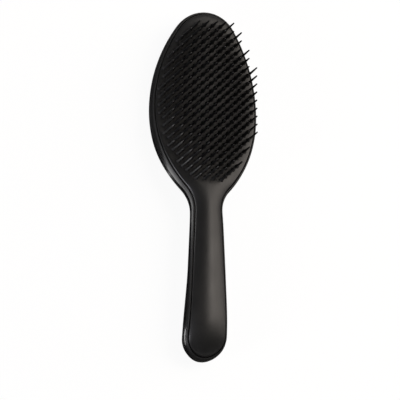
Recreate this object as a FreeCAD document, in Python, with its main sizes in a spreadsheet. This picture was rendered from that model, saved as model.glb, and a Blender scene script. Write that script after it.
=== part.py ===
import FreeCAD, Part
import math
import os
import Sketcher

# Detangling brush lying on its back: +Y from the handle to the head, +Z along the teeth.
# The origin is under the middle of the brush, on the surface that it lies on.

# Driving dimensions, in millimetres
SIZES = {
    "brush_length": 245.0,
    "head_width": 75.4,
    "widest_from_tip": 70.5,
    "tip_radius": 23.8,
    "cheek_radius": 84.5,
    "neck_width": 22.4,
    "neck_radius": 22.4,
    "butt_radius": 15.2,
    "shell_depth": 17.0,
    "tip_dish": 4.9,
    "grip_rise": 7.8,
    "rise_above_widest": 6.0,
    "rise_run": 95.0,
    "butt_fall": 4.0,
    "butt_fall_run": 44.5,
    "grip_hollow": 7.5,
    "hollow_below_widest": 20.0,
    "hollow_run": 60.0,
    "rest_pad": 20.0,
    "fall_run": 45.0,
    "tip_lift": 9.0,
    "tip_lift_run": 45.0,
    "grip_back_crown": 2.5,
    "back_round": 8.0,
    "landing": 0.05,
    "floor_wall": 2.2,
    "rim_width": 1.6,
    "ledge_width": 1.8,
    "ledge_depth": 3.0,
    "parting_gap": 0.3,
    "skirt_wall": 1.6,
    "panel_wall": 2.4,
    "edge_step": 0.9,
    "edge_round": 0.8,
    "dome_rise": 4.2,
    "tip_roll": 16.0,
    "butt_roll": 22.0,
    "post_diameter": 4.0,
    "post_clearance": 0.1,
    "boss_wall": 1.5,
    "boss_drop": 6.0,
    "post_grip": 5.0,
    "head_post_x": 16.0,
    "head_post_y": 26.0,
    "handle_post_inset": 30.0,
    "neck_post_drop": 24.0,
    "field_side_margin": 4.0,
    "field_tip_margin": 13.4,
    "field_above_widest": 5.2,
    "long_tooth": 21.0,
    "short_tooth": 12.0,
    "root_diameter": 1.5,
    "tip_diameter": 0.8,
    "root_gap": 0.25,
}

# Counts of the tooth pattern, how far inside the field its outermost teeth stand in steps, and its fullness
COLUMNS_EACH_SIDE = 11
COLUMN_EDGE_SHARE = 0.3
STEPS_EACH_END = 9
STEP_EDGE_SHARE = 0.93
FIELD_POWER = 1.9

# Settings of the construction that are not sizes of the object
BEYOND = 4.0
SHEET_ROWS = 60
LEAST_ROLL = 0.03
LEAST_DOME_HALF_WIDTH = 5.0
SLOPE_STEP = 0.1
ON_SHEET = 0.005

doc = FreeCAD.newDocument("detangling_brush")
sizes = doc.addObject("Spreadsheet::Sheet", "sizes")
for row, (alias, value) in enumerate(SIZES.items(), start=1):
    sizes.set(f"A{row}", alias)
    sizes.set(f"B{row}", str(value))
    sizes.setAlias(f"B{row}", alias)
doc.recompute()


def size(*aliases):
    """Sum of the named cells."""
    return sum(float(sizes.get(alias)) for alias in aliases)


def cells(*aliases):
    """The same sum as an expression for a bound property."""
    return " + ".join(f"sizes.{alias}" for alias in aliases) or "0"


# The plan outline, all tangent: tip, upper and lower cheek and hollow neck arcs, straight flank, butt arc

tip_y = size("brush_length") / 2
butt_y = -tip_y
widest_y = tip_y - size("widest_from_tip")
half_head = size("head_width") / 2
half_neck = size("neck_width") / 2
tip_centre_y = tip_y - size("tip_radius")
butt_centre_y = butt_y + size("butt_radius")
upper_reach = tip_centre_y - widest_y
shoulder = half_head - size("tip_radius")
upper_radius = (half_head**2 + upper_reach**2 - size("tip_radius") ** 2) / (2 * shoulder)
neck_centre_x = half_neck + size("neck_radius")
cheek_centre_x = half_head - size("cheek_radius")
cheek_to_neck = size("cheek_radius", "neck_radius")
neck_y = widest_y - math.sqrt(cheek_to_neck**2 - (neck_centre_x - cheek_centre_x) ** 2)
upper_angle = math.atan2(upper_reach, upper_radius - half_head)
cheek_angle = math.atan2(neck_y - widest_y, neck_centre_x - cheek_centre_x)
flank_run = math.hypot(neck_centre_x, neck_y - butt_centre_y)
flank_angle = math.atan2(neck_y - butt_centre_y, neck_centre_x) - math.acos(
    size("neck_radius", "butt_radius") / flank_run
)


def half_width(y, inset):
    """Half the width of the outline at a place along the brush, drawn inwards by the inset."""
    upper_end = tip_centre_y + (size("tip_radius") - inset) * math.sin(upper_angle)
    cheek_end = widest_y + (size("cheek_radius") - inset) * math.sin(cheek_angle)
    neck_end = neck_y - (size("neck_radius") + inset) * math.sin(flank_angle)
    flank_end = butt_centre_y + (size("butt_radius") - inset) * math.sin(flank_angle)
    if y > upper_end:
        return math.sqrt(max(0.0, (size("tip_radius") - inset) ** 2 - (y - tip_centre_y) ** 2))
    if y > widest_y:
        return half_head - upper_radius + math.sqrt((upper_radius - inset) ** 2 - (y - widest_y) ** 2)
    if y > cheek_end:
        return cheek_centre_x + math.sqrt((size("cheek_radius") - inset) ** 2 - (y - widest_y) ** 2)
    if y > neck_end:
        return neck_centre_x - math.sqrt((size("neck_radius") + inset) ** 2 - (y - neck_y) ** 2)
    if y > flank_end:
        run = size("butt_radius") - inset
        return (run - (y - butt_centre_y) * math.sin(flank_angle)) / math.cos(flank_angle)
    return math.sqrt(max(0.0, (size("butt_radius") - inset) ** 2 - (y - butt_centre_y) ** 2))


def origin_plane(body, role):
    return next(feature for feature in body.Origin.OriginFeatures if feature.Role == role)


def sketch_on(body, name, role):
    sketch = body.newObject("Sketcher::SketchObject", name)
    sketch.AttachmentSupport = [(origin_plane(body, role), "")]
    sketch.MapMode = "FlatFace"
    return sketch


def dimension(sketch, name, expression, *constraint):
    """Adds a named dimension whose value follows the sheet."""
    index = sketch.addConstraint(Sketcher.Constraint(*constraint))
    sketch.renameConstraint(index, name)
    sketch.setExpression(f"Constraints.{name}", expression)


def arc(centre, radius, start, end):
    circle = Part.Circle(FreeCAD.Vector(*centre, 0), FreeCAD.Vector(0, 0, 1), radius)
    return Part.ArcOfCircle(circle, start, end)


def line(start, end):
    return Part.LineSegment(FreeCAD.Vector(*start, 0), FreeCAD.Vector(*end, 0))


def outline_block(name, *inset_aliases):
    """An upright block on the plan outline drawn inwards: half of it sketched and padded, then mirrored."""
    inset = size(*inset_aliases)
    inset_cells = cells(*inset_aliases)
    body = doc.addObject("PartDesign::Body", name)
    sketch = sketch_on(body, name + "_outline", "XY_Plane")
    sketch.setExpression("AttachmentOffset.Base.z", "-sizes.shell_depth")
    tip_radius = size("tip_radius") - inset
    cheek_radius = size("cheek_radius") - inset
    neck_radius = size("neck_radius") + inset
    butt_radius = size("butt_radius") - inset
    flank = math.cos(flank_angle), math.sin(flank_angle)
    flank_top = neck_centre_x - neck_radius * flank[0], neck_y - neck_radius * flank[1]
    flank_foot = butt_radius * flank[0], butt_centre_y + butt_radius * flank[1]
    upper_centre = half_head - upper_radius, widest_y
    sketch.addGeometry(
        [
            arc((0, tip_centre_y), tip_radius, upper_angle, math.pi / 2),
            arc(upper_centre, upper_radius - inset, 0, upper_angle),
            arc((cheek_centre_x, widest_y), cheek_radius, cheek_angle, 0),
            arc((neck_centre_x, neck_y), neck_radius, math.pi + cheek_angle, math.pi + flank_angle),
            line(flank_top, flank_foot),
            arc((0, butt_centre_y), butt_radius, -math.pi / 2, flank_angle),
            line((0, butt_y + inset), (0, tip_y - inset)),
        ],
        False,
    )
    tip, upper, cheek, neck, side, butt, axis = range(7)
    start, end, centre = 1, 2, 3
    origin, y_axis = -1, -2
    for pair in (
        (tip, start, upper, end),
        (upper, start, cheek, end),
        (cheek, start, neck, start),
        (neck, end, side, start),
        (side, end, butt, end),
    ):
        sketch.addConstraint(Sketcher.Constraint("Tangent", *pair))
    sketch.addConstraint(Sketcher.Constraint("Coincident", tip, end, axis, end))
    sketch.addConstraint(Sketcher.Constraint("Coincident", butt, start, axis, start))
    for piece, place in ((tip, centre), (butt, centre), (axis, start), (axis, end)):
        sketch.addConstraint(Sketcher.Constraint("PointOnObject", piece, place, y_axis))
    sketch.addConstraint(Sketcher.Constraint("Horizontal", upper, centre, upper, start))
    half_length = "sizes.brush_length / 2"
    half_width_cells = f"sizes.head_width / 2 - ({inset_cells})"
    neck_cells = "sizes.neck_width / 2 + sizes.neck_radius"
    zero = origin, start
    reach = f"{half_length} - ({inset_cells})"
    dimension(sketch, "tip", reach, "DistanceY", *zero, axis, end, tip_y - inset)
    dimension(sketch, "butt", reach, "DistanceY", axis, start, *zero, tip_y - inset)
    widest_cells = f"{half_length} - sizes.widest_from_tip"
    dimension(sketch, "widest", widest_cells, "DistanceY", *zero, upper, start, widest_y)
    dimension(sketch, "half_head", half_width_cells, "DistanceX", *zero, upper, start, half_head - inset)
    dimension(sketch, "neck_x", neck_cells, "DistanceX", *zero, neck, centre, neck_centre_x)
    dimension(sketch, "tip_r", f"sizes.tip_radius - ({inset_cells})", "Radius", tip, tip_radius)
    dimension(sketch, "cheek_r", f"sizes.cheek_radius - ({inset_cells})", "Radius", cheek, cheek_radius)
    dimension(sketch, "neck_r", f"sizes.neck_radius + {inset_cells}", "Radius", neck, neck_radius)
    dimension(sketch, "butt_r", f"sizes.butt_radius - ({inset_cells})", "Radius", butt, butt_radius)
    pad = body.newObject("PartDesign::Pad", name + "_half")
    pad.Profile = sketch
    pad.setExpression("Length", f"3 * ({cells('shell_depth', 'grip_rise', 'edge_step', 'dome_rise')})")
    doc.recompute()
    mirror = body.newObject("PartDesign::Mirrored", name + "_whole")
    mirror.Originals = [pad]
    mirror.Refine = False
    mirror.MirrorPlane = (origin_plane(body, "YZ_Plane"), [""])
    body.Tip = mirror
    doc.recompute()
    return body


# The curved levels: each is a height on the centre line and a bow across the brush, both along Y

def eased(share):
    """Goes from 0 to 1 with level ends."""
    share = min(1.0, max(0.0, share))
    return share * share * (3 - 2 * share)


rise_start = widest_y + size("rise_above_widest")
butt_fall_start = butt_y + size("butt_fall_run")
hollow_start = widest_y - size("hollow_below_widest")
fall_end = butt_y + size("rest_pad")
fall_start = fall_end + size("fall_run")
lift_start = tip_y - size("tip_lift_run")
panel_inset = size("rim_width", "parting_gap")


def parting_height(y):
    """Top of the rear shell's rim: dished along the head, raised at the grip, lowest at the butt."""
    dish = size("tip_dish") * max(0.0, (y - rise_start) / (tip_y - rise_start)) ** 2
    rise = size("grip_rise") * eased((rise_start - y) / size("rise_run"))
    fall = size("grip_rise", "butt_fall") * max(0.0, (butt_fall_start - y) / size("butt_fall_run")) ** 3
    return size("shell_depth") + dish + rise - fall


def gripped(y):
    """Goes from 0 under the head to 1 at the grip."""
    return eased((hollow_start - y) / size("hollow_run"))


def back_height(y):
    """Back of the rear shell: flat under head and butt, hollow under the grip, lifted at the tip."""
    lift = max(0.0, (y - lift_start) / size("tip_lift_run"))
    hollow = gripped(y) * (1 - eased((fall_start - y) / size("fall_run")))
    return size("grip_hollow") * hollow + size("tip_lift") * lift**2 - size("landing")


def back_bow(y):
    """The grip's back is crowned across; the head's back is flat."""
    return size("grip_back_crown") * gripped(y) / max(half_width(y, 0), half_neck) ** 2


def rolled(y):
    """How much of the face's dome is left near the two ends of the brush."""
    near_tip = max(0.0, (y - (tip_y - panel_inset - size("tip_roll"))) / size("tip_roll"))
    near_butt = max(0.0, ((butt_y + panel_inset + size("butt_roll")) - y) / size("butt_roll"))
    return math.sqrt(max(LEAST_ROLL, 1 - near_tip**2 - near_butt**2))


def face_height(y):
    return parting_height(y) + size("edge_step") + size("dome_rise") * rolled(y)


def face_bow(y):
    """The face is domed across, down to the same edge height all the way along."""
    half = max(half_width(y, panel_inset), LEAST_DOME_HALF_WIDTH)
    return -size("dome_rise") * rolled(y) / half**2


def no_bow(y):
    return 0.0


class Level:
    """A curved sheet a little wider than the outline: cubic along Y, parabolic across X."""

    def __init__(self, height, bow, lift):
        self.first = butt_y - BEYOND
        self.span = 2 * (tip_y + BEYOND)
        self.spans = SHEET_ROWS - 3
        knots = [0] * 4 + list(range(1, self.spans)) + [self.spans] * 4
        poles = []
        for row in range(SHEET_ROWS):
            y = self.first + self.span * sum(knots[row + 1:row + 4]) / (3 * self.spans)
            reach = max(half_width(y, 0), half_neck) + BEYOND
            middle = height(y) + lift
            side = bow(y) * reach**2
            across = (-reach, middle + side), (0, middle - side), (reach, middle + side)
            poles.append([FreeCAD.Vector(x, y, z) for x, z in across])
        counts = [4] + [1] * (self.spans - 1) + [4]
        steps = list(range(self.spans + 1))
        self.surface = Part.BSplineSurface()
        self.surface.buildFromPolesMultsKnots(poles, counts, [3, 3], steps, [0, 1], False, False, 3, 2)

    def z(self, x, y):
        """Height of the sheet over a place in plan."""
        along = (y - self.first) / self.span * self.spans
        across = 0.5 + 0.5 * x / self.surface.value(along, 1).x
        return self.surface.value(along, across).z

    def slope(self, x, y):
        """Steepness of the sheet at a place in plan."""
        across = (self.z(x + SLOPE_STEP, y) - self.z(x - SLOPE_STEP, y)) / (2 * SLOPE_STEP)
        along = (self.z(x, y + SLOPE_STEP) - self.z(x, y - SLOPE_STEP)) / (2 * SLOPE_STEP)
        return math.hypot(across, along)


def side_of(name, sheet, upwards):
    """The solid space above or below a curved sheet."""
    feature = doc.addObject("Part::Feature", name)
    depth = 4 * size("shell_depth", "grip_rise", "dome_rise") * (1 if upwards else -1)
    feature.Shape = sheet.surface.toShape().extrude(FreeCAD.Vector(0, 0, depth))
    return feature


def cut(name, base, tool):
    feature = doc.addObject("Part::Cut", name)
    feature.Base = base
    feature.Tool = tool
    feature.Refine = False
    doc.recompute()
    return feature


def rounded(name, base, sheet, radius):
    """Rounds the loop of edges on a curved sheet, begun at its longest edge and run round from there."""
    loop = []
    for index, edge in enumerate(base.Shape.Edges, start=1):
        first, last = edge.ParameterRange
        points = [edge.valueAt(first + (last - first) * share) for share in (0.2, 0.5, 0.8)]
        if all(abs(point.z - sheet.z(point.x, point.y)) < ON_SHEET for point in points):
            loop.append((edge.Length, index))
    feature = doc.addObject("Part::Fillet", name)
    feature.Base = base
    for _, begin in sorted(loop, reverse=True):
        feature.Edges = [(begin, radius, radius)]
        doc.recompute()
        if "Invalid" not in feature.State:
            break
    return feature


def joined(name, *shapes):
    feature = doc.addObject("Part::MultiFuse", name)
    feature.Shapes = list(shapes)
    feature.Refine = False
    doc.recompute()
    return feature


def upright(name, x, y, low, high, radius_expression):
    """A round bar between two heights, with its radius bound to the sheet."""
    bar = doc.addObject("Part::Cylinder", name)
    bar.setExpression("Radius", radius_expression)
    bar.Height = high - low
    bar.Placement.Base = FreeCAD.Vector(x, y, low)
    return bar


# Posts under the front panel stand in the rear shell's bosses: four in the head, two in the handle

post_places = []
for side in (-1, 1):
    for end in (-1, 1):
        post_places.append((side * size("head_post_x"), widest_y + end * size("head_post_y")))
post_places += [(0, neck_y - size("neck_post_drop")), (0, butt_y + size("handle_post_inset"))]


def boss_top(y):
    return parting_height(y) - size("boss_drop")


# Rear shell: an open bowl on the plan outline with a rounded back, a ledge inside its rim and six bosses

rim = Level(parting_height, no_bow, 0)
back = Level(back_height, back_bow, 0)
floor = Level(back_height, back_bow, size("floor_wall"))
ledge = Level(parting_height, no_bow, -size("ledge_depth"))
outer_block = outline_block("outer_block")
outer_low = cut("outer_low", outer_block, side_of("above_rim", rim, True))
outer_form = cut("outer_form", outer_low, side_of("below_back", back, False))
outer_round = rounded("outer_round", outer_form, back, size("back_round"))
table = doc.addObject("Part::Box", "table")
table.setExpression("Length", "2 * sizes.head_width")
table.setExpression("Width", "2 * sizes.brush_length")
table.setExpression("Height", "sizes.shell_depth")
table.setExpression("Placement.Base.x", "-sizes.head_width")
table.setExpression("Placement.Base.y", "-sizes.brush_length")
table.setExpression("Placement.Base.z", "-sizes.shell_depth")
outer_bowl = cut("outer_bowl", outer_round, table)
cavity_block = outline_block("cavity_block", "rim_width", "ledge_width")
cavity_form = cut("cavity_form", cavity_block, side_of("below_floor", floor, False))
cavity = rounded("cavity", cavity_form, floor, size("back_round") - size("floor_wall"))
recess_block = outline_block("recess_block", "rim_width")
recess = cut("recess", recess_block, side_of("below_ledge", ledge, False))
bowl = cut("bowl", cut("bowl_with_ledge", outer_bowl, cavity), recess)
bosses = []
sockets = []
for number, (x, y) in enumerate(post_places, start=1):
    foot = back.z(x, y) + size("floor_wall") / 2
    bore = "sizes.post_diameter / 2 + sizes.post_clearance"
    bosses.append(upright(f"boss_{number}", x, y, foot, boss_top(y), bore + " + sizes.boss_wall"))
    socket_foot = boss_top(y) - size("post_grip", "post_clearance")
    sockets.append(upright(f"socket_{number}", x, y, socket_foot, boss_top(y) + BEYOND, bore))
rear_shell = cut("rear_shell", joined("bowl_with_bosses", bowl, *bosses), joined("all_sockets", *sockets))

# Front panel: the domed face of head and handle in one moulding, with a skirt that drops inside the rim

face = Level(face_height, face_bow, 0)
ceiling = Level(face_height, face_bow, -size("panel_wall"))
skirt = Level(parting_height, no_bow, size("parting_gap") - size("ledge_depth"))
panel_block = outline_block("panel_block", "rim_width", "parting_gap")
panel_low = cut("panel_low", panel_block, side_of("above_face", face, True))
panel_form = cut("panel_form", panel_low, side_of("below_skirt", skirt, False))
panel_solid = rounded("panel_solid", panel_form, face, size("edge_round"))
hollow_block = outline_block("hollow_block", "rim_width", "parting_gap", "skirt_wall")
hollow = cut("hollow", hollow_block, side_of("above_ceiling", ceiling, True))
panel_lid = cut("panel_lid", panel_solid, hollow)
posts = []
for number, (x, y) in enumerate(post_places, start=1):
    top = face.z(x, y) - size("panel_wall") / 2
    foot = boss_top(y) - size("post_grip")
    posts.append(upright(f"post_{number}", x, y, foot, top, "sizes.post_diameter / 2"))
front_panel = joined("front_panel", panel_lid, *posts)

# Teeth: straight tapered pins with round ends, in a long and a short tier


def tooth_master(tier):
    """One tooth with the middle of its round root at the origin, turned about its own axis."""
    name = f"{tier}_tooth_master"
    root = size("root_diameter") / 2
    tip = size("tip_diameter") / 2
    run = size(f"{tier}_tooth") - size("root_gap") - root - tip
    taper = math.asin((root - tip) / run)
    body = doc.addObject("PartDesign::Body", name)
    sketch = sketch_on(body, name + "_profile", "XZ_Plane")
    flank = math.cos(taper), math.sin(taper)
    sketch.addGeometry(
        [
            arc((0, 0), root, -math.pi / 2, taper),
            line((root * flank[0], root * flank[1]), (tip * flank[0], run + tip * flank[1])),
            arc((0, run), tip, taper, math.pi / 2),
            line((0, run + tip), (0, -root)),
        ],
        False,
    )
    foot, side, end_ball, axis = range(4)
    start, end, centre = 1, 2, 3
    origin, y_axis = -1, -2
    sketch.addConstraint(Sketcher.Constraint("Tangent", foot, end, side, start))
    sketch.addConstraint(Sketcher.Constraint("Tangent", side, end, end_ball, start))
    sketch.addConstraint(Sketcher.Constraint("Coincident", end_ball, end, axis, start))
    sketch.addConstraint(Sketcher.Constraint("Coincident", axis, end, foot, start))
    sketch.addConstraint(Sketcher.Constraint("Coincident", foot, centre, origin, 1))
    for piece, place in ((end_ball, centre), (axis, start), (axis, end)):
        sketch.addConstraint(Sketcher.Constraint("PointOnObject", piece, place, y_axis))
    dimension(sketch, "root_r", "sizes.root_diameter / 2", "Radius", foot, root)
    dimension(sketch, "tip_r", "sizes.tip_diameter / 2", "Radius", end_ball, tip)
    ends = "(sizes.root_diameter + sizes.tip_diameter) / 2"
    run_cells = f"sizes.{tier}_tooth - sizes.root_gap - {ends}"
    dimension(sketch, "run", run_cells, "DistanceY", origin, 1, end_ball, centre, run)
    turned = body.newObject("PartDesign::Revolution", name + "_turned")
    turned.Profile = sketch
    turned.ReferenceAxis = (sketch, ["V_Axis"])
    turned.Angle = 360
    body.Tip = turned
    doc.recompute()
    return body


masters = {tier: tooth_master(tier) for tier in ("long", "short")}

field_y = widest_y + size("field_above_widest")
field_half_width = half_head - size("field_side_margin")
field_half_length = size("widest_from_tip") - size("field_tip_margin")
column_step = field_half_width / (COLUMNS_EACH_SIDE + COLUMN_EDGE_SHARE)
tooth_step = field_half_length / (STEPS_EACH_END + STEP_EDGE_SHARE)


def in_field(x, y):
    """The field of teeth is a full oval a little above the widest place of the head."""
    across = abs(x) / field_half_width
    along = abs(y - field_y) / field_half_length
    return across**FIELD_POWER + along**FIELD_POWER < 1


def column_roots(column):
    """Root places of one column of teeth; the short tier stands half a step along from the long one."""
    x = column * column_step
    stagger = 0.5 if column % 2 else 0
    roots = []
    for step in range(-STEPS_EACH_END - 1, STEPS_EACH_END + 1):
        y = field_y + (step + stagger) * tooth_step
        if in_field(x, y):
            clear = (size("root_diameter") / 2 + size("root_gap")) * math.hypot(1, face.slope(x, y))
            roots.append(FreeCAD.Vector(x, y, face.z(x, y) + clear))
    return roots


def tooth_column(column):
    """One column of separate teeth that bend together about a line midway up the range of their roots."""
    tier = "short" if column % 2 else "long"
    side = "middle" if column == 0 else f"{'left' if column < 0 else 'right'}_{abs(column):02d}"
    feature = doc.addObject("Part::Feature", f"{tier}_teeth_{side}")
    roots = column_roots(column)
    feature.Shape = Part.makeCompound([masters[tier].Shape.translated(root) for root in roots])
    heights = [root.z for root in roots]
    axis_z = (min(heights) + max(heights)) / 2
    print(f"{feature.Name}: {len(roots)} teeth, bending axis at x {roots[0].x:.3f} z {axis_z:.3f}")
    return feature


tooth_columns = [tooth_column(column) for column in range(-COLUMNS_EACH_SIDE, COLUMNS_EACH_SIDE + 1)]

# Every object has to be sound before anything is written

doc.recompute()
sub_parts = [rear_shell, front_panel] + tooth_columns
for item in doc.Objects:
    if "Invalid" in item.State or "Error" in item.State:
        raise RuntimeError(f"{item.Name} failed: {item.State}")
for item in sub_parts:
    if item.Shape.isNull() or not item.Shape.isValid():
        raise RuntimeError(f"{item.Name} has no sound shape")
    item.Label = item.Name

os.makedirs("parts", exist_ok=True)
for item in sub_parts:
    item.Shape.exportStep(f"parts/{item.Label}.step")
print(len(sub_parts), "nodes,", sum(len(item.Shape.Solids) for item in sub_parts), "solids")
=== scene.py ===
# %% [markdown]
# # A detangling brush, dressed over its CAD frame
# The brush lies on its back with the teeth up: +Y runs from the handle to the head and +Z along the
# teeth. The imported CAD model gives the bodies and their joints. This lesson adds the looks: a semi-gloss
# rear shell, a satin front panel, two tiers of thin flexible teeth, and the soft light of the photograph.

# %% Load the frame
import math

import bpy
import numpy as np
from mathutils import Matrix, Vector


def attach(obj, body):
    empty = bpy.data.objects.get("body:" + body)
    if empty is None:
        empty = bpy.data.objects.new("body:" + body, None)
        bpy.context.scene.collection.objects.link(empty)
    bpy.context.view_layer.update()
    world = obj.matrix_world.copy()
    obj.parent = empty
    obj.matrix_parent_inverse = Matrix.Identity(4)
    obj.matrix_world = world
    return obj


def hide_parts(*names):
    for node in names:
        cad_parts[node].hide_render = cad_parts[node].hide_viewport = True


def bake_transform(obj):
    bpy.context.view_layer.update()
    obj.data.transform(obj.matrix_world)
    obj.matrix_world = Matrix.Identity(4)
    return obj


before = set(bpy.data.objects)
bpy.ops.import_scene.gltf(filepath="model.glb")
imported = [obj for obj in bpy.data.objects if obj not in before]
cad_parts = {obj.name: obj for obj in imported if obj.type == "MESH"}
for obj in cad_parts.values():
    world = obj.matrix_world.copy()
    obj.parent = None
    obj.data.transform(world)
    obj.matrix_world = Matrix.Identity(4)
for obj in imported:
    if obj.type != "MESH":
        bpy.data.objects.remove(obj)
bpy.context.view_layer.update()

print("CAD nodes:", len(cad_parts))

# %% [markdown]
# ## The plan outline
# Seen from above, half of the brush is a chain of tangent pieces: tip arc, upper cheek, lower cheek,
# hollow neck, straight flank and butt arc. It could be drawn as a Bezier curve and nudged by eye.
# Arcs are used because an outline drawn inwards by any distance is then exact: every point moves along
# its own normal, which makes a parallel groove or rim easy. Sizes are in millimetres, as in the CAD source.

# %% Sizes of the outline
BRUSH_LENGTH = 245.0
HEAD_WIDTH = 75.4
WIDEST_FROM_TIP = 70.5
TIP_RADIUS = 23.8
CHEEK_RADIUS = 84.5
NECK_WIDTH = 22.4
NECK_RADIUS = 22.4
BUTT_RADIUS = 15.2

TIP_Y = BRUSH_LENGTH / 2
BUTT_Y = -TIP_Y
WIDEST_Y = TIP_Y - WIDEST_FROM_TIP
HALF_HEAD = HEAD_WIDTH / 2
print("head", HEAD_WIDTH, "mm wide, widest at y", WIDEST_Y)

# %% Arcs of half the outline
QUARTER = math.pi / 2


def outline_arcs():
    """Centre, radius, side, start and end angle of the arcs of the right half, from the tip to the butt.

    Two tangent arcs share the line through both centres. The side is -1 where the outline is hollow.
    """
    tip_centre = np.array([0.0, TIP_Y - TIP_RADIUS])
    butt_centre = np.array([0.0, BUTT_Y + BUTT_RADIUS])
    reach = tip_centre[1] - WIDEST_Y
    upper_radius = (HALF_HEAD**2 + reach**2 - TIP_RADIUS**2) / (2 * (HALF_HEAD - TIP_RADIUS))
    upper_centre = np.array([HALF_HEAD - upper_radius, WIDEST_Y])
    cheek_centre = np.array([HALF_HEAD - CHEEK_RADIUS, WIDEST_Y])
    neck_x = NECK_WIDTH / 2 + NECK_RADIUS
    drop = math.sqrt((CHEEK_RADIUS + NECK_RADIUS) ** 2 - (neck_x - cheek_centre[0]) ** 2)
    neck_centre = np.array([neck_x, WIDEST_Y - drop])
    upper_angle = math.atan2(reach, upper_radius - HALF_HEAD)
    cheek_angle = math.atan2(-drop, neck_x - cheek_centre[0])
    run = np.hypot(*(neck_centre - butt_centre))
    climb = math.atan2(neck_centre[1] - butt_centre[1], neck_x)
    lean = climb - math.acos((NECK_RADIUS + BUTT_RADIUS) / run)
    return [
        (tip_centre, TIP_RADIUS, 1, QUARTER, upper_angle),
        (upper_centre, upper_radius, 1, upper_angle, 0.0),
        (cheek_centre, CHEEK_RADIUS, 1, 0.0, cheek_angle),
        (neck_centre, NECK_RADIUS, -1, cheek_angle, lean),
        (butt_centre, BUTT_RADIUS, 1, lean, -QUARTER),
    ]


print("arcs in half the outline:", len(outline_arcs()))

# %% [markdown]
# ## Stations
# A mesh needs points, so the outline is cut into stations, and each keeps its outward normal. They could
# stand at equal angles, but then a large arc would have long edges and a small one short ones. Equal
# lengths keep the faces, and with them the highlights, even all round the brush.

# %% Stations round half of the outline
STEP_ALONG = 1.5
FEWEST_STEPS = 6


def half_outline():
    """Points and outward normals of the right half, from the tip to the butt, about STEP_ALONG apart.

    On an arc a point is centre + side * radius * (cos, sin). The flank, the only straight run, goes in
    before the butt arc, and its points are shares of the way between its two ends.
    """
    points, normals = [], []
    for centre, radius, side, start, end in outline_arcs():
        count = max(FEWEST_STEPS, round(radius * abs(end - start) / STEP_ALONG))
        angle = np.linspace(start, end, count + 1)[:, None]
        normal = np.hstack([np.cos(angle), np.sin(angle)])
        points.append(centre + side * radius * normal)
        normals.append(normal)
    neck_end, butt_start = points[-2][-1], points[-1][0]
    count = round(np.hypot(*(butt_start - neck_end)) / STEP_ALONG)
    share = np.linspace(0, 1, count + 1)[:, None]
    points.insert(-1, (1 - share) * neck_end + share * butt_start)
    normals.insert(-1, np.tile(normals[-1][0], (count + 1, 1)))
    points = np.vstack([points[0]] + [run[1:] for run in points[1:]])
    normals = np.vstack([normals[0]] + [run[1:] for run in normals[1:]])
    return points, normals


HALF_POINTS, HALF_NORMALS = half_outline()
print("stations on half the outline:", len(HALF_POINTS))

# %% [markdown]
# ## Level of the rim
# On the real brush the parting line between shell and panel is not flat. It dips at the head, climbs to
# the tip and to the grip, and sinks again at the butt. It could be sculpted. Written as one smooth
# function of y, it keeps shell, groove and panel on exactly the same line.

# %% Rim
SHELL_DEPTH = 17.0
TIP_DISH = 4.9
GRIP_RISE = 7.8
RISE_ABOVE_WIDEST = 6.0
RISE_RUN = 95.0
BUTT_FALL = 4.0
BUTT_FALL_RUN = 44.5
RISE_START = WIDEST_Y + RISE_ABOVE_WIDEST
BUTT_FALL_START = BUTT_Y + BUTT_FALL_RUN


def eased(share):
    """Goes from 0 to 1 with level ends: 3 s^2 - 2 s^3."""
    share = np.clip(share, 0, 1)
    return share * share * (3 - 2 * share)


def parting_height(y):
    """Top of the rim: a parabola up to the tip, an eased rise to the grip, a cubic fall at the butt."""
    dish = TIP_DISH * np.maximum(0, (y - RISE_START) / (TIP_Y - RISE_START)) ** 2
    rise = GRIP_RISE * eased((RISE_START - y) / RISE_RUN)
    fall = (GRIP_RISE + BUTT_FALL) * np.maximum(0, (BUTT_FALL_START - y) / BUTT_FALL_RUN) ** 3
    return SHELL_DEPTH + dish + rise - fall


print("rim at tip, widest place and butt:", parting_height(np.array([TIP_Y, WIDEST_Y, BUTT_Y])).round(1))

# %% [markdown]
# ## Level of the back
# The back is flat under the head, hollow under the fingers, and touches down again at the butt. At the
# tip it lifts, and across the grip it is bowed a little to sit in a closed hand. A boolean could carve
# all this out of a block. Eased steps that are added up leave no seam that would have to be smoothed.

# %% Back
GRIP_HOLLOW = 7.5
HOLLOW_BELOW_WIDEST = 20.0
HOLLOW_RUN = 60.0
REST_PAD = 20.0
FALL_RUN = 45.0
TIP_LIFT = 9.0
TIP_LIFT_RUN = 45.0
GRIP_BACK_CROWN = 2.5
HOLLOW_START = WIDEST_Y - HOLLOW_BELOW_WIDEST
FALL_START = BUTT_Y + REST_PAD + FALL_RUN


def half_width(y, inset):
    """Half the width at y: x of the outline, drawn inwards by the inset, read off between its points."""
    drawn = HALF_POINTS - inset * HALF_NORMALS
    return np.interp(-np.asarray(y), -drawn[:, 1], drawn[:, 0])


def back_height(x, y):
    """Back of the shell: an eased hollow under the grip, a parabola across it, a parabola up to the tip."""
    lift = np.maximum(0, (y - TIP_Y + TIP_LIFT_RUN) / TIP_LIFT_RUN)
    gripped = eased((HOLLOW_START - y) / HOLLOW_RUN)
    hollow = gripped * (1 - eased((FALL_START - y) / FALL_RUN))
    crown = GRIP_BACK_CROWN * gripped * (x / np.maximum(half_width(y, 0), NECK_WIDTH / 2)) ** 2
    return GRIP_HOLLOW * hollow + TIP_LIFT * lift**2 + crown


print("back at tip and butt:", back_height(np.zeros(2), np.array([TIP_Y, BUTT_Y])).round(1))

# %% [markdown]
# ## Level of the face
# The face is one low dome across the brush, from the head to the end of the handle, and near both ends
# it rolls down to its edge. A bent and subdivided plane could do this. A parabola across, added to the
# rim's own level, keeps the edge the same step above the rim all the way along.

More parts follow.
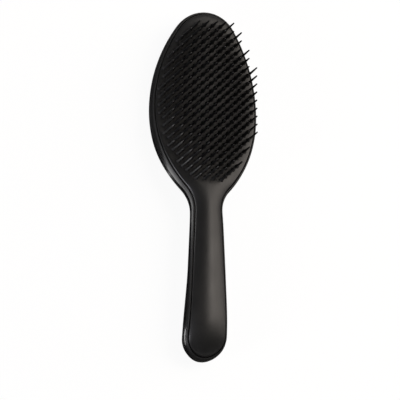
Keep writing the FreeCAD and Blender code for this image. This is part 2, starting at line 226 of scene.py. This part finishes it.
# %% Face
RIM_WIDTH = 1.6
PARTING_GAP = 0.5
PANEL_INSET = RIM_WIDTH + PARTING_GAP
EDGE_STEP = 0.9
DOME_RISE = 4.2
TIP_ROLL = 16.0
BUTT_ROLL = 22.0
LEAST_DOME = 0.03
LEAST_HALF_FACE = 5.0


def rolled(y):
    """How much of the dome is left near the two ends: a quarter ellipse at each."""
    near_tip = np.maximum(0, (y - (TIP_Y - PANEL_INSET - TIP_ROLL)) / TIP_ROLL)
    near_butt = np.maximum(0, ((BUTT_Y + PANEL_INSET + BUTT_ROLL) - y) / BUTT_ROLL)
    return np.sqrt(np.maximum(LEAST_DOME, 1 - near_tip**2 - near_butt**2))


def face_height(x, y):
    """The panel's face: rim + step + dome * (1 - (x / half width)^2)."""
    half = np.maximum(half_width(y, PANEL_INSET), LEAST_HALF_FACE)
    return parting_height(y) + EDGE_STEP + DOME_RISE * rolled(y) * (1 - (x / half) ** 2)


print("face at the widest place:", face_height(0.0, WIDEST_Y).round(1))

# %% [markdown]
# ## A closed form from rings
# Shell and panel could be extruded and bevelled. Here both are carried along the outline instead: rings
# follow it, each with its own inset and level, and neighbouring rings are joined by quads. Straight rows
# from side to side close the last ring. That gives one smooth skin with even faces and clean highlights.


# %% Points of rings and rows
def ring(inset, height):
    """One closed ring: right half from tip to butt, then the mirrored left half back up to the tip."""
    half = HALF_POINTS - inset * HALF_NORMALS
    left = half[-2:0:-1] * (-1, 1)
    plan = np.vstack([half, left])
    return np.column_stack([plan, height(plan[:, 0], plan[:, 1])])


def closing_rows(last_ring, height, across):
    """Inner points of the sheet over the last ring, one row per pair of stations.

    x and y run evenly from the right point to the left one, and z = height(x, y).
    """
    half = len(last_ring) // 2
    right = last_ring[1:half, None]
    left = last_ring[:half:-1, None]
    share = np.linspace(1, 0, across + 1)[1:-1, None]
    rows = left * (1 - share) + right * share
    rows[..., 2] = height(rows[..., 0], rows[..., 1])
    return rows.reshape(-1, 3)


print("points in a ring:", len(ring(0, back_height)))


# %% Faces of rings and rows
def ring_faces(rings, count):
    """Quad k of ring j joins stations k and k + 1 of rings j and j + 1."""
    station = np.arange(count)
    beside = (station + 1) % count
    base = np.arange(rings - 1)[:, None] * count
    over = base + count
    quads = np.stack([base + station, base + beside, over + beside, over + station], -1)
    return quads.reshape(-1, 4).tolist()


def sheet_faces(last, count, across):
    """Quads between neighbouring rows of the closing sheet, and a fan of triangles at each end."""
    half = count // 2
    right = last + np.arange(1, half)
    left = last + count - np.arange(1, half)
    inner = last + count + np.arange((half - 1) * (across - 1)).reshape(half - 1, across - 1)
    table = np.hstack([right[:, None], inner, left[:, None]])
    quads = np.stack([table[:-1, :-1], table[1:, :-1], table[1:, 1:], table[:-1, 1:]], -1)
    tip_fan = np.column_stack([np.full(across, last), table[0, :-1], table[0, 1:]])
    butt_fan = np.column_stack([np.full(across, last + half), table[-1, 1:], table[-1, :-1]])
    return quads.reshape(-1, 4).tolist() + tip_fan.tolist() + butt_fan.tolist()


print("faces between two rings:", len(ring_faces(2, len(ring(0, back_height)))))

# %% From points and faces to a piece
MM = 0.001


def set_attribute(mesh, label, values):
    """A float attribute with one value per point, for the material to read."""
    values = np.asarray(values, np.float32)
    mesh.attributes.new(label, "FLOAT", "POINT").data.foreach_set("value", values)


def new_piece(name, points, faces, matt):
    """A smooth object from points in millimetres; the attribute "matt" is added to its roughness."""
    mesh = bpy.data.meshes.new(name)
    mesh.from_pydata(points * MM, [], faces)
    set_attribute(mesh, "matt", matt)
    mesh.shade_smooth()
    piece = bpy.data.objects.new(name, mesh)
    bpy.context.scene.collection.objects.link(piece)
    print(name, len(points), "points,", len(faces), "faces")
    return piece


def skin(name, rings, height, across, ring_matt):
    """A piece from rings and the sheet over the last one, with one value of "matt" per ring."""
    count = len(rings[0])
    rows = closing_rows(rings[-1], height, across)
    faces = ring_faces(len(rings), count) + sheet_faces((len(rings) - 1) * count, count, across)
    matt = np.concatenate([np.repeat(ring_matt, count), np.full(len(rows), ring_matt[-1])])
    return new_piece(name, np.vstack([*rings, rows]), faces, matt)


# %% [markdown]
# ## Rear shell
# The rear shell is the smooth bowl that the fingers close round. From the dark groove a narrow rim rolls
# over a long soft shoulder into the side wall, and the wall rolls under into the back. A bevel would have
# one width everywhere. Two quarter ellipses share the wall's height, so they shrink with it at the tip.

# %% Levels on the shell's wall
SHOULDER_SHARE = 0.3


def wall_height(y):
    """Height of the side wall: rim less back on the centre line."""
    return parting_height(y) - back_height(np.zeros_like(y), y)


def below_rim(drop):
    """A level at a fixed drop below the rim."""
    return lambda x, y: parting_height(y) - drop


def on_shoulder(angle):
    """A level on the shoulder: rim - share * wall * (1 - cos)."""
    return lambda x, y: parting_height(y) - SHOULDER_SHARE * wall_height(y) * (1 - math.cos(angle))


def on_roll(angle):
    """A level on the roll under the wall: back + (1 - share) * wall * (1 - sin)."""
    left = 1 - math.sin(angle)
    return lambda x, y: back_height(x, y) + (1 - SHOULDER_SHARE) * wall_height(y) * left


print("wall at the widest place:", wall_height(WIDEST_Y).round(1))

# %% Rear shell rings
GROOVE_DEPTH = 2.6
LIP_ROUND = 0.15
LIP_FALL = 0.3 * LIP_ROUND
SHOULDER_WIDTH = RIM_WIDTH - LIP_ROUND
BACK_ROUND = 8.0
BEND_RINGS = 9
SHELL_ACROSS = 24
bend = np.linspace(0, QUARTER, BEND_RINGS)
shell_rings = [
    ring(RIM_WIDTH, below_rim(GROOVE_DEPTH)),
    ring(RIM_WIDTH, below_rim(LIP_ROUND)),
    ring(RIM_WIDTH - LIP_FALL, below_rim(LIP_FALL)),
]
shell_rings += [ring(SHOULDER_WIDTH * (1 - math.sin(angle)), on_shoulder(angle)) for angle in bend]
shell_rings += [ring(BACK_ROUND * (1 - math.cos(angle)), on_roll(angle)) for angle in bend]

LIP_MATT = 0.25
GROOVE_TO_LIP = (0.0, 0.4, 1.0)
LIP_FADE_POWER = 4
lip_share = np.array([*GROOVE_TO_LIP, *np.cos(bend) ** LIP_FADE_POWER, *np.zeros(BEND_RINGS)])
shell = skin("rear_shell_skin", shell_rings, back_height, SHELL_ACROSS, LIP_MATT * lip_share)

# %% [markdown]
# ## Front panel
# The front panel is the satin cover that drops into the shell, with a thin dark gap all round. Its edge
# stands a little proud of the rim. A Bevel modifier could round it. A few rings on a quarter circle do
# the same here, because they also carry the polish that hands leave on the edge.

# %% Front panel rings
SKIRT_END = 0.2
EDGE_ROUND = 0.8
EDGE_TO_FACE = 2.2
EDGE_RINGS = 4
PANEL_ACROSS = 28
edge_bend = np.linspace(0, QUARTER, EDGE_RINGS + 1)[1:]


def below_face(sink):
    """A level at a fixed drop below the face."""
    return lambda x, y: face_height(x, y) - sink


panel_rings = [
    ring(PANEL_INSET, below_rim(GROOVE_DEPTH - SKIRT_END)),
    ring(PANEL_INSET, below_rim(EDGE_ROUND - EDGE_STEP)),
]
for angle in edge_bend:
    inset = PANEL_INSET + EDGE_ROUND * (1 - math.cos(angle))
    panel_rings.append(ring(inset, below_face(EDGE_ROUND * (1 - math.sin(angle)))))
panel_rings.append(ring(PANEL_INSET + EDGE_TO_FACE, face_height))

EDGE_POLISH = 0.1
SKIRT_WEAR = (0.0, 0.3)
FACE_WEAR = 0.0
edge_wear = np.array([*SKIRT_WEAR, *(1 - edge_bend / math.pi), FACE_WEAR])
panel = skin("front_panel_skin", panel_rings, face_height, PANEL_ACROSS, -EDGE_POLISH * edge_wear)

# %% [markdown]
# ## Where the teeth stand
# The teeth fill a rounded field on the head. They stand in columns, long and short in turn, and the short
# columns are half a step along from the long ones. An Array modifier would fill a rectangle. A list of
# places, kept only where they fall inside a superellipse, gives the rounded field.

# %% Field of teeth
SIDE_MARGIN = 4.0
TIP_MARGIN = 13.4
FIELD_ABOVE_WIDEST = 5.2
FIELD_POWER = 1.9
FIELD_HALF_WIDTH = HALF_HEAD - SIDE_MARGIN
FIELD_HALF_LENGTH = WIDEST_FROM_TIP - TIP_MARGIN
FIELD_Y = WIDEST_Y + FIELD_ABOVE_WIDEST
COLUMNS_EACH_SIDE = 11
COLUMN_EDGE_SHARE = 0.3
COLUMN_STEP = FIELD_HALF_WIDTH / (COLUMNS_EACH_SIDE + COLUMN_EDGE_SHARE)
STEPS_EACH_END = 9
STEP_EDGE_SHARE = 0.93
TOOTH_STEP = FIELD_HALF_LENGTH / (STEPS_EACH_END + STEP_EDGE_SHARE)


def field_reach(x, y):
    """How far out a place lies from the field's middle: |x/a|^p + |y/b|^p, which is 1 on the edge."""
    across = np.abs(x) / FIELD_HALF_WIDTH
    along = np.abs(y) / FIELD_HALF_LENGTH
    return across**FIELD_POWER + along**FIELD_POWER


def column_roots(column):
    """Root places of one column: rows a step apart, kept inside the field, on the face."""
    stagger = 0.5 if column % 2 else 0
    y = (np.arange(-STEPS_EACH_END - 1, STEPS_EACH_END + 1) + stagger) * TOOTH_STEP
    y = y[field_reach(column * COLUMN_STEP, y) < 1] + FIELD_Y
    x = np.full_like(y, column * COLUMN_STEP)
    return np.column_stack([x, y, face_height(x, y)])


print("columns", round(COLUMN_STEP, 2), "mm apart, teeth in a column", round(TOOTH_STEP, 2), "mm apart")

# %% [markdown]
# ## One tooth
# A tooth is a thin tapered pin with a plain round end, on a small flared root that blends it into the
# face. It could be a cone with a bevelled end. A profile of radius and height, turned about the axis,
# takes only fifty-odd faces, which matters for a shape that is repeated hundreds of times.

# %% Profile of a tooth
TOOTH_LENGTH = {"long": 21.0, "short": 12.0}
ROOT_RADIUS = 1.0
END_RADIUS = 0.5
FLARE_RADIUS = 1.7
FLARE_HEIGHT = 1.8
ROOT_SINK = 0.5
WAIST_FLARE_SHARE = 0.3
WAIST_HEIGHT_SHARE = 0.5
SHAFT_SHARES = np.array([0, 0.4, 0.75, 1])
CROWN_RADIUS_SHARE = 0.65
CROWN_DROP_SHARE = 0.25


def tooth_profile(length):
    """Radius and height of each ring of a tooth: hollow flare at the root, straight taper, round end."""
    waist = ROOT_RADIUS + WAIST_FLARE_SHARE * (FLARE_RADIUS - ROOT_RADIUS)
    shaft = length - END_RADIUS - FLARE_HEIGHT
    taper = ROOT_RADIUS - SHAFT_SHARES * (ROOT_RADIUS - END_RADIUS)
    return np.vstack([
        (FLARE_RADIUS, -ROOT_SINK),
        (FLARE_RADIUS, 0),
        (waist, WAIST_HEIGHT_SHARE * FLARE_HEIGHT),
        np.column_stack([taper, FLARE_HEIGHT + SHAFT_SHARES * shaft]),
        (CROWN_RADIUS_SHARE * END_RADIUS, length - CROWN_DROP_SHARE * END_RADIUS),
    ])


print("rings on a tooth:", len(tooth_profile(TOOTH_LENGTH["long"])))

# %% Points and faces of a tooth
TOOTH_SIDES = 7


def one_tooth(length):
    """Points and faces of a tooth: rings with x = r cos t and y = r sin t, closed by a point at the end."""
    profile = tooth_profile(length)
    turn = np.arange(TOOTH_SIDES) * 2 * np.pi / TOOTH_SIDES
    rings = np.zeros((len(profile), TOOTH_SIDES, 3))
    rings[..., 0] = profile[:, :1] * np.cos(turn)
    rings[..., 1] = profile[:, :1] * np.sin(turn)
    rings[..., 2] = profile[:, 1:]
    points = np.vstack([rings.reshape(-1, 3), (0, 0, length)])
    index = np.arange(len(profile) * TOOTH_SIDES).reshape(len(profile), TOOTH_SIDES)
    beside = np.roll(index, -1, axis=1)
    quads = np.stack([index[:-1], beside[:-1], beside[1:], index[1:]], -1).reshape(-1, 4)
    cap = np.column_stack([index[-1], beside[-1], np.full(TOOTH_SIDES, len(points) - 1)])
    return points, quads, cap


print("faces on a tooth:", sum(map(len, one_tooth(TOOTH_LENGTH["long"])[1:])))

# %% [markdown]
# ## A column of teeth
# The teeth of a column bend together when hair is drawn across the brush. Linked copies of one tooth
# would do at rest, but each would tip by itself, so one column is one object. numpy copies the points of
# a tooth to every root in one step. Roots are matt, since nothing rubs them, and ends are polished.

# %% A column as one piece
ROOT_MATT = 0.4
END_POLISH = 0.2


def tooth_piece(name, length, roots):
    """All teeth of a column as one piece: point + root for every point of a tooth and every root."""
    points, quads, cap = one_tooth(length)
    shift = np.arange(len(roots))[:, None, None] * len(points)
    faces = (quads + shift).reshape(-1, 4).tolist() + (cap + shift).reshape(-1, 3).tolist()
    height = points[:, 2]
    matt = ROOT_MATT * np.clip(1 - height / (2 * FLARE_HEIGHT), 0, 1)
    matt = matt - END_POLISH * (height > length - 2 * END_RADIUS)
    return new_piece(name, (roots[:, None, :] + points).reshape(-1, 3), faces, np.tile(matt, len(roots)))


print("teeth in the middle column:", len(column_roots(0)))

# %% [markdown]
# ## A column in place of its body
# A real tooth is fixed at its root and bends along its length. Riding on the hinged body alone, a column
# would tip like a row of sticks. Here each column is one object built where it stands, and the CAD node of
# its hinged body is hidden; it is not tied to a body and does not bend.


def tooth_column(column):
    """One column as one object that takes the place of the column's own hinged body, whose CAD node is
    hidden.
    """
    tier = "short" if column % 2 else "long"
    side = "middle" if column == 0 else f"{'left' if column < 0 else 'right'}_{abs(column):02d}"
    body = f"{tier}_teeth_{side}"
    roots = column_roots(column)
    piece = tooth_piece(body + "_skin", TOOTH_LENGTH[tier], roots)
    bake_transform(piece)
    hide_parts(body)
    return piece


teeth = [tooth_column(column) for column in range(-COLUMNS_EACH_SIDE, COLUMNS_EACH_SIDE + 1)]
print("tooth columns:", len(teeth))

# %% [markdown]
# ## Black plastics
# Shell, panel and teeth are all black, and only their finish tells them apart. Each has a fine moulded
# grain, patches of slightly different gloss, and the attribute "matt" of its points. Images could do
# this, but noise on Object coordinates needs no unwrapping and stays sharp close up.

# %% Noise and grain
GRAIN_DETAIL = 3
BUMP_STRENGTH = 0.6


def object_noise(nodes, links, scale, detail):
    """A noise pattern on the object's own coordinates; gives its factor."""
    place = nodes.new("ShaderNodeTexCoord")
    pattern = nodes.new("ShaderNodeTexNoise")
    pattern.inputs["Scale"].default_value = scale
    pattern.inputs["Detail"].default_value = detail
    links.new(place.outputs["Object"], pattern.inputs["Vector"])
    return pattern.outputs["Fac"]


def add_grain(nodes, links, shader, size, depth):
    """Moulded grain: noise is the height of a bump, with size and depth in millimetres."""
    bump = nodes.new("ShaderNodeBump")
    bump.inputs["Strength"].default_value = BUMP_STRENGTH
    bump.inputs["Distance"].default_value = depth * MM
    links.new(object_noise(nodes, links, 1 / (size * MM), GRAIN_DETAIL), bump.inputs["Height"])
    links.new(bump.outputs["Normal"], shader.inputs["Normal"])


print("grain: bump strength", BUMP_STRENGTH)

# %% Gloss
PATCH_LOW = 0.3
PATCH_HIGH = 0.7
SMOOTHER = -0.03
ROUGHER = 0.04


def math_node(nodes, links, operation, *values):
    """Output of a Math node; each value is a number, or an output that is linked to that input."""
    node = nodes.new("ShaderNodeMath")
    node.operation = operation
    for socket, value in zip(node.inputs, values):
        if isinstance(value, bpy.types.NodeSocket):
            links.new(value, socket)
        else:
            socket.default_value = value
    return node.outputs["Value"]


def add_gloss(nodes, links, shader, patches, roughness):
    """Roughness: the base value, a little less or more by patches, plus the attribute "matt"."""
    gloss = nodes.new("ShaderNodeMapRange")
    gloss.inputs["From Min"].default_value = PATCH_LOW
    gloss.inputs["From Max"].default_value = PATCH_HIGH
    gloss.inputs["To Min"].default_value = roughness + SMOOTHER
    gloss.inputs["To Max"].default_value = roughness + ROUGHER
    links.new(patches, gloss.inputs["Value"])
    matt = nodes.new("ShaderNodeAttribute")
    matt.attribute_name = "matt"
    total = math_node(nodes, links, "ADD", gloss.outputs["Result"], matt.outputs["Fac"])
    links.new(total, shader.inputs["Roughness"])


print("gloss patches: roughness", SMOOTHER, "to", ROUGHER, "beside the base value")

# %% Tint
DARKER = 0.8
LIGHTER = 1.2


def add_tint(nodes, links, shader, patches, color):
    """Base colour: a mix by patches of a darker and a lighter shade of the same black."""
    tint = nodes.new("ShaderNodeMix")
    tint.data_type = "RGBA"
    tint.inputs["A"].default_value = (*[DARKER * c for c in color], 1)
    tint.inputs["B"].default_value = (*[LIGHTER * c for c in color], 1)
    links.new(patches, tint.inputs["Factor"])
    links.new(tint.outputs["Result"], shader.inputs["Base Color"])


print("tint:", DARKER, "to", LIGHTER, "of the base colour")

# %% The three finishes
PLASTIC_IOR = 1.5
PATCH_SCALE = 90
PATCH_DETAIL = 4
SHELL_BLACK = (0.008, 0.0082, 0.0085)
PANEL_BLACK = (0.009, 0.009, 0.009)
TOOTH_BLACK = (0.011, 0.011, 0.011)


def plastic(name, color, roughness, grain_size, grain_depth):
    """Black moulded plastic: one noise for the patches of gloss and tint, a finer one for the grain."""
    material = bpy.data.materials.new(name)
    material.use_nodes = True
    nodes, links = material.node_tree.nodes, material.node_tree.links
    shader = nodes["Principled BSDF"]
    shader.inputs["IOR"].default_value = PLASTIC_IOR
    patches = object_noise(nodes, links, PATCH_SCALE, PATCH_DETAIL)
    add_grain(nodes, links, shader, grain_size, grain_depth)
    add_gloss(nodes, links, shader, patches, roughness)
    add_tint(nodes, links, shader, patches, color)
    print("finish:", name, "with", len(nodes), "nodes")
    return material


shell_plastic = plastic("semi_gloss_black", SHELL_BLACK, roughness=0.28, grain_size=0.5, grain_depth=0.01)
panel_plastic = plastic("satin_black", PANEL_BLACK, roughness=0.45, grain_size=0.35, grain_depth=0.015)
tooth_plastic = plastic("tooth_black", TOOTH_BLACK, roughness=0.36, grain_size=0.4, grain_depth=0.01)

# %% [markdown]
# ## Painted shade among the teeth
# Among the teeth the face shines less, which stands for the shade of the dense teeth: painted shade. A
# painted mask could say where. The field's own formula does it without a mask: an attribute is 1 among
# the teeth and eases to 0 round them, and the panel's specular level goes down with it.

# %% Field of the panel
FIELD_EDGE = 1.1
FIELD_FADE = 0.2
FULL_SHEEN = 0.5
# How far the painted shade among the teeth lowers the panel's specular level.
FIELD_PAINTED_SHADE = 0.25


def mark_shade_among_teeth(mesh):
    """Painted shade mask "field" on every point: 1 inside the field, eased to 0 as the reach passes its
    edge.
    """
    place = np.empty(3 * len(mesh.vertices), np.float32)
    mesh.vertices.foreach_get("co", place)
    x, y, _ = place.reshape(-1, 3).T / MM
    painted_shade = eased((FIELD_EDGE - field_reach(x, y - FIELD_Y)) / FIELD_FADE)
    set_attribute(mesh, "field", painted_shade)
    print("points among the teeth:", int((painted_shade > 0).sum()), "of", len(painted_shade))


def paint_shade_among_teeth(material):
    """Painted shade among the teeth: specular level is the full value less a share of the attribute
    "field".
    """
    nodes, links = material.node_tree.nodes, material.node_tree.links
    painted_shade_mask = nodes.new("ShaderNodeAttribute")
    painted_shade_mask.attribute_name = "field"
    # Painted shade: the face reflects less among the teeth.
    shaded_sheen = math_node(nodes, links, "MULTIPLY_ADD", painted_shade_mask.outputs["Fac"], -FIELD_PAINTED_SHADE, FULL_SHEEN)
    links.new(shaded_sheen, nodes["Principled BSDF"].inputs["Specular IOR Level"])


mark_shade_among_teeth(panel.data)
paint_shade_among_teeth(panel_plastic)

# %% [markdown]
# ## Finishes and bodies
# Shell and panel are fixed to each other, so both move with the brush body. They could be parented to it
# by hand.

# %% Give each piece its finish, and shell and panel their body
for piece, material, node, slot in (
    (shell, shell_plastic, "rear_shell", "shell_plastic"),
    (panel, panel_plastic, "front_panel", "panel_plastic"),
):
    piece.data.materials.append(material)
    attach(piece, "brush")
    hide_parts(node)
for piece in teeth:
    piece.data.materials.append(tooth_plastic)
print("pieces with a finish:", len([shell, panel, *teeth]))

# %% [markdown]
# ## Floor
# The photograph's ground is pure white. More light would bleach the brush too, so the floor glows
# instead, but only for rays from the camera, from mirrors and through glass. A small share of plain white
# paper is left in the mix, and it keeps a soft shadow under the brush.

# %% Floor plane
FLOOR_REACH = 6
CORNER_SIGNS = [(-1, -1), (1, -1), (1, 1), (-1, 1)]
floor_corners = [(FLOOR_REACH * x, FLOOR_REACH * y, 0) for x, y in CORNER_SIGNS]
floor_mesh = bpy.data.meshes.new("floor")
floor_mesh.from_pydata(floor_corners, [], [(0, 1, 2, 3)])
floor = bpy.data.objects.new("floor", floor_mesh)
bpy.context.scene.collection.objects.link(floor)
print("floor:", 2 * FLOOR_REACH, "m wide")

# %% Rays that see the glow
GLOW_SHARE = 0.9


def glow_share(nodes, links):
    """GLOW_SHARE for a ray from the camera, from a mirror or through glass, and 0 for any other."""
    ray = nodes.new("ShaderNodeLightPath").outputs
    mirrored = math_node(nodes, links, "ADD", ray["Is Glossy Ray"], ray["Is Transmission Ray"])
    any_view = math_node(nodes, links, "ADD", ray["Is Camera Ray"], mirrored)
    any_view.node.use_clamp = True
    return math_node(nodes, links, "MULTIPLY", any_view, GLOW_SHARE)


print("share of glow in the floor:", GLOW_SHARE)

# %% Floor paper
PAPER_WHITE = 0.8
GLOW_STRENGTH = 1.04
white = bpy.data.materials.new("floor_white")
white.use_nodes = True
nodes, links = white.node_tree.nodes, white.node_tree.links
nodes.remove(nodes["Principled BSDF"])
paper = nodes.new("ShaderNodeBsdfDiffuse")
paper.inputs["Color"].default_value = (PAPER_WHITE, PAPER_WHITE, PAPER_WHITE, 1)
glow = nodes.new("ShaderNodeEmission")
glow.inputs["Color"].default_value = (1, 1, 1, 1)
glow.inputs["Strength"].default_value = GLOW_STRENGTH
mix = nodes.new("ShaderNodeMixShader")
links.new(glow_share(nodes, links), mix.inputs["Fac"])
links.new(paper.outputs["BSDF"], mix.inputs[1])
links.new(glow.outputs["Emission"], mix.inputs[2])
links.new(mix.outputs["Shader"], nodes["Material Output"].inputs["Surface"])
floor_mesh.materials.append(white)
print("floor paper:", len(nodes), "nodes")

# %% [markdown]
# ## Camera
# The photograph looks down on the face from the left of the handle. A camera could be turned by eye until
# it fits. Here the axes of the view were worked out from the outline and are written down as vectors.
# The lens is long and far away, because the brush shows almost no perspective.

# %% Axes and aim of the view
RIGHT = Vector((0.951, 0.0, 0.309))
UP = Vector((-0.0852, 0.9613, 0.2621))
BACK = RIGHT.cross(UP).normalized()
RIGHT = UP.cross(BACK).normalized()
FACE_PLACE = Vector((0, 53.5, 17)) * MM
AIM_LEFT = 3.35 * MM
AIM_DOWN = 61.1 * MM
target = FACE_PLACE - AIM_LEFT * RIGHT - AIM_DOWN * UP
print("camera aims at", [round(place / MM, 1) for place in target], "mm")

# %% Camera
FRAME_WIDTH = 272.8 * MM
DISTANCE = 12.0
SENSOR_WIDTH = 36
VIEW_END = 50
camera = bpy.data.objects.new("camera", bpy.data.cameras.new("camera"))
bpy.context.scene.collection.objects.link(camera)
camera.data.sensor_width = SENSOR_WIDTH
camera.data.lens = SENSOR_WIDTH * DISTANCE / FRAME_WIDTH
camera.data.clip_end = VIEW_END
turned = Matrix((RIGHT, UP, BACK)).transposed().to_4x4()
camera.matrix_world = Matrix.Translation(target + BACK * DISTANCE) @ turned
bpy.context.scene.camera = camera
print("lens:", round(camera.data.lens), "mm")

# %% [markdown]
# ## Lights
# A black, shiny object is drawn by what it mirrors. Spot lamps would show as hard dots, so large area
# lamps are used. A warm softbox on the right fills the handle and the right of the head, two small ones
# fill the top of the head and the neck, and a narrow cooler strip on the left picks out the shoulder.

# %% Softboxes
KEY_WHITE = (1.0, 0.91, 0.83)
STRIP_WHITE = (0.92, 0.92, 1.0)
FILL_WHITE = (1.0, 0.95, 0.9)
TOP_WHITE = (1.0, 0.93, 0.86)


def softbox(name, azimuth, elevation, distance, size, power, color):
    """An area lamp that faces the brush; azimuth (from +X towards +Y) and elevation are in degrees."""
    across = math.cos(math.radians(elevation))
    turn = math.radians(azimuth)
    away = Vector((math.cos(turn) * across, math.sin(turn) * across, math.sin(math.radians(elevation))))
    light = bpy.data.lights.new(name, "AREA")
    light.shape = "RECTANGLE"
    light.size, light.size_y = size
    light.energy = power
    light.color = color
    lamp = bpy.data.objects.new(name, light)
    lamp.location = away * distance
    lamp.rotation_mode = "QUATERNION"
    lamp.rotation_quaternion = (-away).to_track_quat("-Z", "Y")
    bpy.context.scene.collection.objects.link(lamp)
    print("lamp:", name, power, "W")


softbox("key", 15, 46, distance=1.5, size=(1.0, 2.0), power=18.5, color=KEY_WHITE)
softbox("strip", 207, 16, distance=1.4, size=(0.28, 0.75), power=8.5, color=STRIP_WHITE)
softbox("fill", 85, 45, distance=1.5, size=(0.8, 0.8), power=2.8, color=FILL_WHITE)
softbox("top", 34, 65, distance=1.5, size=(0.5, 0.5), power=3.4, color=TOP_WHITE)

# %% [markdown]
# ## Painted reflections: cards on the table
# Photographers lay black card beside a dark, shiny object, so that its walls do not mirror the white
# table. Here only mirrors see it, so it paints dark reflections into the walls. In a notch of it lies a
# glowing patch, a painted highlight in the lower cheek, and a small one by the butt paints a spark on its
# corner; both glow but are no lamps. Painted on the plastic, such lights would not move with the view.
# Only mirrored rays see the cards: camera, shadows and bounced light pass through.

# %% Places of the cards, in metres
DARK_REFLECTION_LIFT = 0.0002
PAINTED_HIGHLIGHT_LIFT = 0.0004
NOTCH = [(-0.1, 0.014), (-0.026, 0.007), (-0.031, -0.028), (-0.1, -0.04)]
# Black card, seen only in mirrors: painted dark reflection in the shell's walls.
DARK_REFLECTION_CORNERS = [(0.35, -0.24), (0.35, 0.24), (-0.1, 0.24), *NOTCH, (-0.1, -0.24)]
# Glowing patches, seen only in mirrors: painted highlights on the lower cheek and the butt's corner.
CHEEK_HIGHLIGHT_CORNERS = [(-0.026, 0.007), (-0.09, 0.012), (-0.09, -0.03), (-0.03, -0.018)]
SPARK_HIGHLIGHT_CORNERS = [(-0.023, -0.117), (-0.023, -0.097), (-0.033, -0.097), (-0.033, -0.117)]
print("cards lie", DARK_REFLECTION_LIFT, "and", PAINTED_HIGHLIGHT_LIFT, "m above the floor")

# %% Cards
CARD_ROUGHNESS = 0.9
DARK_REFLECTION_SHADE = 0.09
PAINTED_HIGHLIGHT_SHADE = 0.8


def painted_reflection_card(name, corners, lift, shade, glow_strength):
    """A flat card from its corners, just above the floor, that only mirrored rays see: it paints a
    reflection.
    """
    mesh = bpy.data.meshes.new(name)
    mesh.from_pydata([(*corner, lift) for corner in corners], [], [range(len(corners))])
    card = bpy.data.objects.new(name, mesh)
    bpy.context.scene.collection.objects.link(card)
    card.visible_camera = card.visible_diffuse = card.visible_shadow = False
    material = bpy.data.materials.new(name)
    material.use_nodes = True
    inputs = material.node_tree.nodes["Principled BSDF"].inputs
    inputs["Base Color"].default_value = (shade, shade, shade, 1)
    inputs["Roughness"].default_value = CARD_ROUGHNESS
    inputs["Emission Color"].default_value = (1, 1, 1, 1)
    inputs["Emission Strength"].default_value = glow_strength
    mesh.materials.append(material)
    print("card:", name)


# Painted dark reflection: a black card that only mirrored rays see.
painted_reflection_card("painted_dark_reflection_card", DARK_REFLECTION_CORNERS, DARK_REFLECTION_LIFT, DARK_REFLECTION_SHADE, glow_strength=0)
# Painted highlights: glowing patches, no lamps, that only mirrored rays see.
painted_reflection_card("cheek_painted_highlight", CHEEK_HIGHLIGHT_CORNERS, PAINTED_HIGHLIGHT_LIFT, PAINTED_HIGHLIGHT_SHADE, glow_strength=2)
painted_reflection_card("spark_painted_highlight", SPARK_HIGHLIGHT_CORNERS, PAINTED_HIGHLIGHT_LIFT, PAINTED_HIGHLIGHT_SHADE, glow_strength=4)

# %% [markdown]
# ## World
# A weak white world stands for the light that a studio's walls send back, and it keeps the dark side of
# the brush from going fully black. A picture of a studio could do this too, but it would put shapes of
# its own into the gloss.

# %% Studio walls
WORLD_STRENGTH = 0.08
world = bpy.data.worlds.new("studio")
bpy.context.scene.world = world
world.use_nodes = True
background = world.node_tree.nodes["Background"]
background.inputs["Color"].default_value = (1, 1, 1, 1)
background.inputs["Strength"].default_value = WORLD_STRENGTH
print("world strength:", WORLD_STRENGTH)

# %% [markdown]
# ## Finish
# The Standard view shows colours as they are written.

# %% Finish
bpy.context.scene.view_settings.view_transform = "Standard"
